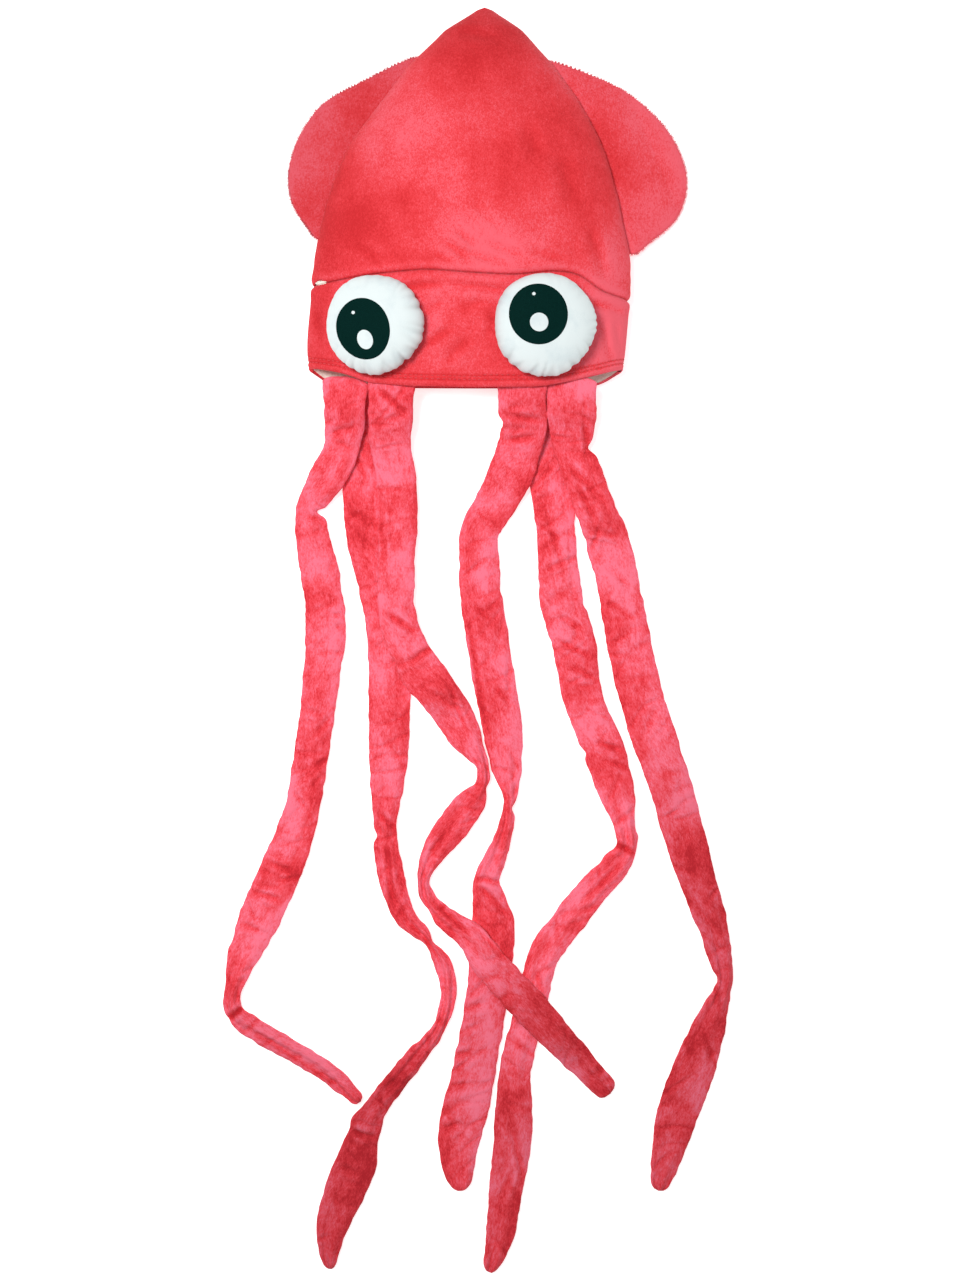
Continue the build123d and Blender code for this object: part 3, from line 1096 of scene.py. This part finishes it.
finSettings = {
    "left": {
        "edge": [
            (-57, 523), (-101.6, 504), (-139, 484.3), (-159.5, 457.6), (-169.3, 430.8), (-170.2, 408.6),
            (-165.7, 390.7), (-154.1, 372.9), (-143, 361),
        ],
        "hidden": [(-126, 374), (-100, 420), (-72, 470), (-50, 510)],
        "fold": ((-121, 448), (-143, 460)),
        "tone": 0.08,
        # painted shade over the whole fin, more on the left one that droops towards the floor
        "shade": 0.19,
        "fuzzSeed": 4,
    },
    "right": {
        "edge": [
            (61, 520), (107.8, 505.7), (136.3, 491.4), (161.3, 469.1), (176.4, 447.8), (185.3, 423.7),
            (185.3, 402.3), (176.4, 380), (155, 360.4), (135, 348),
        ],
        "hidden": [(118, 374), (98, 420), (75, 468), (52, 508)],
        "fold": ((117, 431), (140, 441)),
        "tone": 0.15,
        "shade": 0.04,
        "fuzzSeed": 5,
    },
}
finForm = {
    "across": 200,
    "along": 80,
    "thick": 12.0,
    "edgeHeight": 6.0,
    "seamHeight": 15.0,
    "rimRound": 0.8,
    "topRound": 0.75,
    "swell": (0.9, 34),
    "rough": (0.35, 3.5),
    "edgeNap": 0.3,
    # painted shade at the fin's root beside the hat: how much, width
    "foldShade": (0.2, 16),
}


def makeFin(side, settings, form):
    outline = settings["edge"] + settings["hidden"]
    ring = outline + outline[:3]
    middle = Vector((sum(p[0] for p in outline), sum(p[1] for p in outline))) / len(outline)
    foldStart, foldEnd = (Vector(p) for p in settings["fold"])
    outward = (foldEnd - foldStart).normalized()
    swell, swellSize = form["swell"]
    rough, roughSize = form["rough"]
    foldShade, foldWidth = form["foldShade"]

    def place(u, v):
        t = u * len(outline)
        x, y = blendRows(ring, t + 1 if t + 1 <= len(ring) - 1 else t + 1 - len(outline))
        polar = math.pi * v
        reach = math.sin(polar) ** form["rimRound"]
        point = middle + (Vector((x, y)) - middle) * reach
        away = (point - foldStart).dot(outward)
        slope = clamp((away + 20) / 60)
        level = form["seamHeight"] + (form["edgeHeight"] - form["seamHeight"]) * slope
        rise = form["thick"] / 2 * power(math.cos(polar), form["topRound"]) * (1.25 - 0.5 * slope)
        puff = swell * ripple(point.x, point.y, 5, swellSize) if math.cos(polar) > 0 else 0
        x, y = point + outward * (rough * ripple(point.x, point.y, rise, roughSize) * reach)
        z = max(level + rise + puff * (1 - reach**6), 0.2)
        # painted shade at the root beside the hat
        tone = settings["tone"] + form["edgeNap"] * reach**5 - foldShade * bell(away, foldWidth)
        return x, y, z, tone, settings["shade"]

    fin = shapedGrid(side + "Fin", form["across"], form["along"], place, hatVelour, settings["fuzzSeed"])
    nodes = [side + "_fin_" + part for part in ("root", "front_plush", "wadding", "back_plush")]
    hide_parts(*nodes)
    start = (*(foldStart * mm), 0.011)
    end = (*(foldEnd * mm), 0.011)
    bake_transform(fin, "hat", side + "_fin", start, end)


for side, settings in finSettings.items():
    makeFin(side, settings, finForm)
print("fins")

# tentacles

# each station: x, y, width, height of the underside
tentacleRoutes = {
    1: [
        (-117, 236, 40, 31), (-118, 226, 40, 30), (-119, 207, 37, 25), (-120, 191, 35, 15), (-124, 173, 30, 9),
        (-136, 149, 31, 8.6), (-149, 127, 26, 1), (-151, 110, 28, 0), (-146, 78, 33, 0),
        (-140, 45, 34, 0), (-138, 15, 36, 0), (-140, -20, 34, 0), (-148, -80, 31, 0),
        (-159, -150, 32, 0), (-178, -204, 38, 0), (-204, -262, 35, 0), (-215, -290, 24, 0),
        (-221, -312, 15, 0), (-219, -330, 16, 0), (-203, -345, 20, 0), (-163, -368, 18, 0),
        (-134, -386, 18, 0), (-106, -411, 13, 0),
    ],
    2: [
        (-96, 236, 39, 2), (-96, 226, 39, 1), (-99, 180, 39, 0), (-103, 136, 39, 0), (-99, 94, 39, 0),
        (-88, 50, 39, 0), (-82, 10, 38, 0), (-80, -35, 38, 0), (-81, -78, 37, 0),
        (-82, -118, 32, 0), (-84, -165, 21, 0), (-80, -203, 24, 0), (-67, -243, 20, 0),
        (-45, -266, 11, 0), (-31, -290, 16, 0), (-28, -318, 14, 0), (-36, -345, 12, 0),
        (-57, -371, 18, 0), (-90, -413, 21, 0), (-103, -440, 29, 0), (-110, -466, 37, 0),
        (-119, -488, 37, 0), (-131, -520, 30, 0), (-134, -545, 19, 0), (-132, -561, 9, 0),
    ],
    3: [
        (-77, 236, 42, 38), (-77, 226, 41, 36), (-78, 206, 40, 30), (-79, 186, 38, 18), (-77, 166, 36, 10),
        (-74, 145, 34, 8.6), (-72, 109, 35, 8.6), (-74, 62, 32, 8.6), (-73, 25, 33, 8.6),
        (-64, -4, 35, 8.6), (-51, -25, 39, 8.6), (-38, -42, 37, 8.6), (-24, -63, 35, 0),
        (-11, -86, 28, 0), (1, -105, 13, 0), (4, -117, 12, 0), (3, -128, 15, 0),
        (-6, -142, 25, 0), (-22, -162, 29, 0), (-40, -187, 23, 0), (-49, -209, 12, 0),
        (-47, -225, 12, 1), (-38, -238, 18, 5), (-24, -249, 21, 8.6), (-8, -262, 26, 8.6),
        (13, -290, 31, 8.6), (50, -330, 32, 8.6), (69, -351, 29, 8.6), (90, -374, 26, 0),
        (118, -404, 20, 0),
    ],
    4: [
        (38, 236, 43, 39), (38, 226, 43, 37), (38, 208, 43, 29), (40, 190, 40, 18), (34, 168, 40, 10),
        (26, 148, 39, 8.6), (12, 121, 37, 0), (1, 103, 36, 0), (0, 80, 35, 0),
        (2, 40, 37, 0), (9, -5, 38, 0), (19, -65, 37, 0), (25, -112, 27, 0),
        (28, -137, 13, 0), (25, -163, 13, 0), (14, -194, 20, 0), (7, -213, 24, 0),
        (10, -233, 31, 0), (13, -262, 39, 0), (6, -324, 38, 0), (0, -358, 38, 0),
        (-6, -392, 39, 0), (-12, -416, 42, 0), (-18, -446, 38, 0), (-18, -472, 29, 0),
        (-15, -491, 14, 0),
    ],
    5: [
        (62, 236, 40, 2), (62, 226, 40, 1), (62, 182, 39, 0), (66, 135, 39, 0), (70, 90, 35, 0),
        (74, 39, 38, 0), (85, 0, 39, 0), (94, -50, 36, 0), (112, -97, 37, 0),
        (124, -135, 32, 0), (131, -165, 18, 0), (132, -184, 18, 0), (120, -201, 27, 0),
        (102, -222, 28, 0), (69, -264, 29, 0), (55, -288, 28, 0), (47, -324, 28, 0),
        (38, -358, 28, 0), (32, -387, 29, 0), (31, -420, 34, 0), (30, -450, 35, 0),
        (24, -492, 30, 0), (18, -535, 25, 0), (9, -564, 12, 0),
    ],
    6: [
        (81, 236, 45, 33), (81, 226, 45, 32), (82, 207, 44, 26), (83, 190, 40, 15), (85, 172, 35, 9),
        (92, 152, 34, 8.6), (99, 132, 36, 8.6), (106, 115, 37, 8.6), (116, 90, 40, 0),
        (125, 54, 37, 0), (130, 25, 39, 0), (138, -15, 40, 0), (152, -70, 40, 0),
        (172, -128, 38, 0), (190, -192, 35, 0), (208, -247, 28, 0), (218, -288, 20, 0),
        (218, -311, 16, 0), (207, -342, 29, 0), (192, -385, 38, 0), (180, -416, 38, 0),
        (172, -446, 33, 0), (166, -471, 24, 0), (161, -491, 13, 0),
    ],
}
sleeveForm = {
    "around": 72,
    "spacing": 1.5,
    "thick": 8.0,
    "fullWidth": 40.0,
    "bunch": 0.75,  # how much thicker a sleeve gets where it is gathered narrow
    "pleat": 3.0,
    "endRound": 7.0,
    "sideRound": 0.82,
    "topRound": 0.7,
    "edgeRipples": [(1.3, 17), (0.7, 6)],
    "handRipple": (0.4, 11),
    "creaseEvery": (18, 44),
    "crumple": 1.9,
    "pressed": 1.3,
    "seam": (0.8, 1.0),
    "seedFrom": 40,
    "tone": 0.06,
    # painted shade in creases and the seam groove, for how far the strip is pressed in
    "paintedCreaseShade": 0.12,
    # painted shade lower down also lowers the tone
    "shadeTone": (2.6, 0.15),  # how fast the tone falls where the shade is over a limit
    "strip": 0.62,  # length of pattern for each length of sleeve
}
sleeveDetails = {
    # seam: where the lengthwise seam runs across the sleeve, at the root and the tip
    # creases: x0, y0, x1, y1, depth, width; notches: distance y, side, depth, width
    # the last entry is painted shade, darker and duller towards the lower end where the light falls off:
    # y where it starts, how far down it takes, how much
    1: {
        "seam": (0.35, 0.15),
        "creases": [
            (-128, 130, -112, 118, 2.6, 2.2), (-134, 186, -108, 196, 1.2, 3), (-162, 118, -130, 104, 1.6, 2.6),
            (-190, -196, -166, -205, 1.6, 2.4), (-207, -221, -176, -231, 1.8, 2.4),
            (-214, -250, -190, -262, 1.4, 2.4),
            (-230, -342, -210, -324, 2.6, 2.4), (-213, -340, -113, -404, 1.4, 2.0),
        ],
        "notches": [(119, 1, 7.0, 5.0), (168, 1, -3.0, 12.0), (-270, -1, 3.0, 6.0)],
        "dullAndShaded": (-290, 60, 0.14),
    },
    2: {
        "seam": (0.7, -0.5),
        "creases": [
            (-118, 120, -96, 108, 1.4, 2.6), (-112, 172, -98, 140, 1.4, 2.6), (-92, -150, -74, -168, 2.0, 2.4),
            (-84, -170, -77, -240, 2.0, 2.2), (-114, -437, -92, -443, 2.4, 2.4), (-50, -262, -34, -300, 1.4, 2.0),
            (-126, -468, -108, -476, 1.2, 2.6),
        ],
        "notches": [(-172, -1, 3.0, 5.0), (-270, 1, 3.0, 6.0), (-430, -1, -2.0, 8.0)],
        "dullAndShaded": (-330, 60, 0.28),
    },
    3: {
        "seam": (-0.75, 0.55),
        "creases": [
            (-90, 226, -62, 202, 2.0, 2.6), (-92, 196, -60, 206, 1.2, 3), (-84, 28, -56, 8, 2.2, 2.6),
            (-64, -18, -30, 4, 2.0, 2.4), (-46, -42, -16, -60, 1.8, 2.6), (-90, 150, -84, 60, 1.6, 2.2),
            (-30, -32, -8, -86, 1.6, 1.8), (-44, -228, -8, -259, 2.0, 2.2), (-4, -254, 28, -286, 1.6, 2.4),
            (-30, -170, -44, -190, 1.4, 2.2), (86, -366, 104, -392, 1.2, 2.6),
        ],
        "notches": [(-8, -1, 2.5, 5.0), (-128, 1, 3.0, 5.0), (-236, -1, 2.5, 5.0)],
        "dullAndShaded": (-270, 60, 0.26),
    },
    4: {
        "seam": (-0.8, -0.45),
        "creases": [
            (16, 204, 58, 199, 1.6, 2.4), (20, 181, 52, 185, 1.6, 2.6), (-6, 36, 10, 20, 2.0, 2.2),
            (-11, 30, 8, -90, 1.8, 2.0), (30, 30, 26, -60, 1.2, 2.4), (12, -36, 32, -58, 1.4, 2.4),
            (-4, -212, 30, -250, 2.2, 2.4), (-6, -210, 22, -216, 2.2, 2.2), (-22, -330, 8, -322, 1.6, 3.0),
            (-30, -372, -4, -366, 1.8, 3.0), (-34, -402, -8, -396, 1.6, 3.0), (-34, -436, -12, -430, 1.4, 3.0),
        ],
        "notches": [(104, -1, 2.0, 7.0), (-148, 1, 3.0, 5.0), (200, -1, 2.0, 5.0)],
        "dullAndShaded": (-240, 100, 0.12),
    },
    5: {
        "seam": (0.6, -0.2),
        "creases": [
            (72, 24, 92, 12, 2.2, 2.4), (68, 4, 100, -12, 2.2, 2.4), (78, -18, 108, -34, 2.0, 2.4),
            (104, -88, 128, -96, 3.0, 2.2), (108, -104, 134, -112, 1.8, 2.4), (60, 120, 78, 60, 1.4, 2.4),
            (57, -250, 78, -222, 1.6, 2.2), (86, -238, 130, -195, 2.0, 2.2), (28, -424, 41, -486, 2.0, 2.4),
            (118, -176, 142, -190, 2.4, 2.2), (20, -500, 30, -470, 1.4, 2.4), (50, -290, 62, -330, 1.4, 2.2),
        ],
        "notches": [(-92, -1, 2.5, 5.0), (-174, 1, -2.0, 6.0), (-205, -1, 2.5, 6.0)],
        "dullAndShaded": (-330, 90, 0.2),
    },
    6: {
        "seam": (0.5, -0.65),
        "creases": [
            (93, 200, 99, 168, 2.2, 2.4), (74, 166, 116, 120, 1.8, 2.6), (84, 150, 108, 100, 1.6, 2.2),
            (110, 74, 138, 48, 1.6, 2.4), (112, 40, 140, 20, 1.4, 2.4), (96, 104, 124, 96, 1.4, 2.4),
            (210, -290, 215, -338, 1.6, 2.2), (178, -222, 226, -268, 1.0, 2.4), (196, -352, 214, -376, 1.0, 3.0),
        ],
        "notches": [(172, 1, 4.0, 6.0), (-300, -1, 2.0, 6.0), (98, -1, 2.0, 5.0)],
        "dullAndShaded": (-70, 150, 0.24),
    },
}


def evenStations(route, spacing):
    # stations at an even spacing along a smooth route
    fine = [blendRows(route, i / 24) for i in range(24 * (len(route) - 1) + 1)]
    travelled = [0.0]
    for before, after in zip(fine, fine[1:]):
        step = math.hypot(after[0] - before[0], after[1] - before[1], after[3] - before[3])
        travelled.append(travelled[-1] + step)
    count = int(travelled[-1] / spacing)
    stations, k = [], 0
    for i in range(count + 1):
        goal = travelled[-1] * i / count
        while k < len(fine) - 2 and travelled[k + 1] < goal:
            k += 1
        f = (goal - travelled[k]) / max(travelled[k + 1] - travelled[k], 1e-9)
        stations.append([a + (b - a) * f for a, b in zip(fine[k], fine[k + 1])] + [goal])
    return stations


def sleeveHeadings(stations):
    headings = []
    for i in range(len(stations)):
        before, after = stations[max(i - 4, 0)], stations[min(i + 4, len(stations) - 1)]
        headings.append(Vector((after[0] - before[0], after[1] - before[1], after[3] - before[3])).normalized())
    return headings


def seededCreases(length, seed, every):
    rng = random.Random(seed)
    creases, s = [], 26.0
    while s < length - 20:
        slant, deep, wide = rng.uniform(-1.4, 1.4), rng.uniform(0.5, 1.7), rng.uniform(1.5, 3.0)
        creases.append((s, slant, deep, wide, rng.uniform(-14, 14), rng.uniform(7, 18)))
        s += rng.uniform(*every)
    return creases


def makeSleeve(number, form):
    route, detail = tentacleRoutes[number], sleeveDetails[number]
    stations = evenStations(route, form["spacing"])
    headings = sleeveHeadings(stations)
    last = len(stations) - 1
    length = stations[-1][4]
    creases = seededCreases(length, form["seedFrom"] + number, form["creaseEvery"])
    seamStart, seamEnd = detail["seam"]
    seamDepth, seamWidth = form["seam"]
    shadeFrom, shadeOver, shadeDepth = detail["dullAndShaded"]
    shadeTone, shadeLimit = form["shadeTone"]
    handRipple, handSize = form["handRipple"]

    def dipAt(s, side, width, x, y):
        # everything that is pressed into the upper strip: crumples, creases and the seam
        dip = form["crumple"] * crumpled(s, side, number * 7.3)
        for at, slant, deep, wide, middle, reach in creases:
            gap = (s - at - slant * side) / math.sqrt(1 + slant * slant)
            if abs(gap) < 4 * wide:
                pressed = bell(gap, wide) - 0.5 * bell(abs(gap) - 2.0 * wide, wide)
                dip += bell(side - middle, reach) * deep * pressed
        dip += form["pressed"] * pressedCreases(detail["creases"], x, y)
        seamAt = seamStart + (seamEnd - seamStart) * s / length + 0.18 * math.sin(s / 60 + number)
        return dip + seamDepth * bell(side - seamAt * width / 2, seamWidth)

    def place(u, v):
        i = round(v * last)
        x, y, width, base, s = stations[i]
        forward = headings[i]
        across = Vector((-forward.y, forward.x, 0)).normalized()
        lift = forward.cross(across)
        lift = lift if lift.z > 0 else -lift
        angle = math.tau * u
        close = rounded(min(s, length - s), form["endRound"])
        gather = max(0, 1 - width / form["fullWidth"])
        thick = form["thick"] * (1 + form["bunch"] * gather)
        hand = math.cos(angle)
        half = width / 2
        for height, size in form["edgeRipples"]:
            half += height * ripple(s, 9 * (hand > 0), number, size)
        for at, hem, deep, wide in detail["notches"]:
            if hem * hand > 0:
                half -= deep * bell(y - at, wide)
        flat = power(hand, form["sideRound"])
        side, edge = flat * half, 1 - abs(flat) ** 5
        rise = power(math.sin(angle), form["topRound"]) * thick / 2
        # painted shade, darker towards the lower end where the light falls off
        shade = shadeDepth * clamp((shadeFrom - y) / shadeOver)
        tone = form["tone"] - shadeTone * max(shade - shadeLimit, 0)
        if math.sin(angle) > 0:
            spot = Vector((x, y, 0)) + across * side
            rise += edge * 0.9 * ripple(x + side, y, 3 * number, 30)
            rise += edge * 0.4 * ripple(x, y + side, 7 * number, 9)
            turned = 1.3 * math.sin(s / 23 + number) + side / max(width, 8) * 11
            rise += form["pleat"] * gather * edge * (math.sin(turned) - 0.15)
            dip = dipAt(s, side, width, spot.x, spot.y)
            rise = max(rise - dip * (0.35 + 0.65 * edge), 0.3)
            # painted shade where the strip is pressed in
            tone -= form["paintedCreaseShade"] * dip
        side += handRipple * ripple(s, side, number, handSize) * abs(hand)
        point = Vector((x, y, base + thick / 2)) + across * side * close + lift * rise * close
        if lift.z > 0.98:  # a level stretch stays above what it lies on
            point.z = max(point.z, base)
        return (*point, tone, shade, (side, s * form["strip"], 60 * number + rise))

    sleeve = shapedGrid("tentacle" + str(number), form["around"], last, place, sleeveVelour)
    body = "tentacle_" + str(number)
    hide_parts(body + "_upper_strip", body + "_lower_strip")
    x = route[1][0] * mm
    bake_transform(sleeve, "hat", body, (x, 0.234, 0.02), (x, 0.186, 0.02))


for number in tentacleRoutes:
    makeSleeve(number, sleeveForm)
print("tentacles")
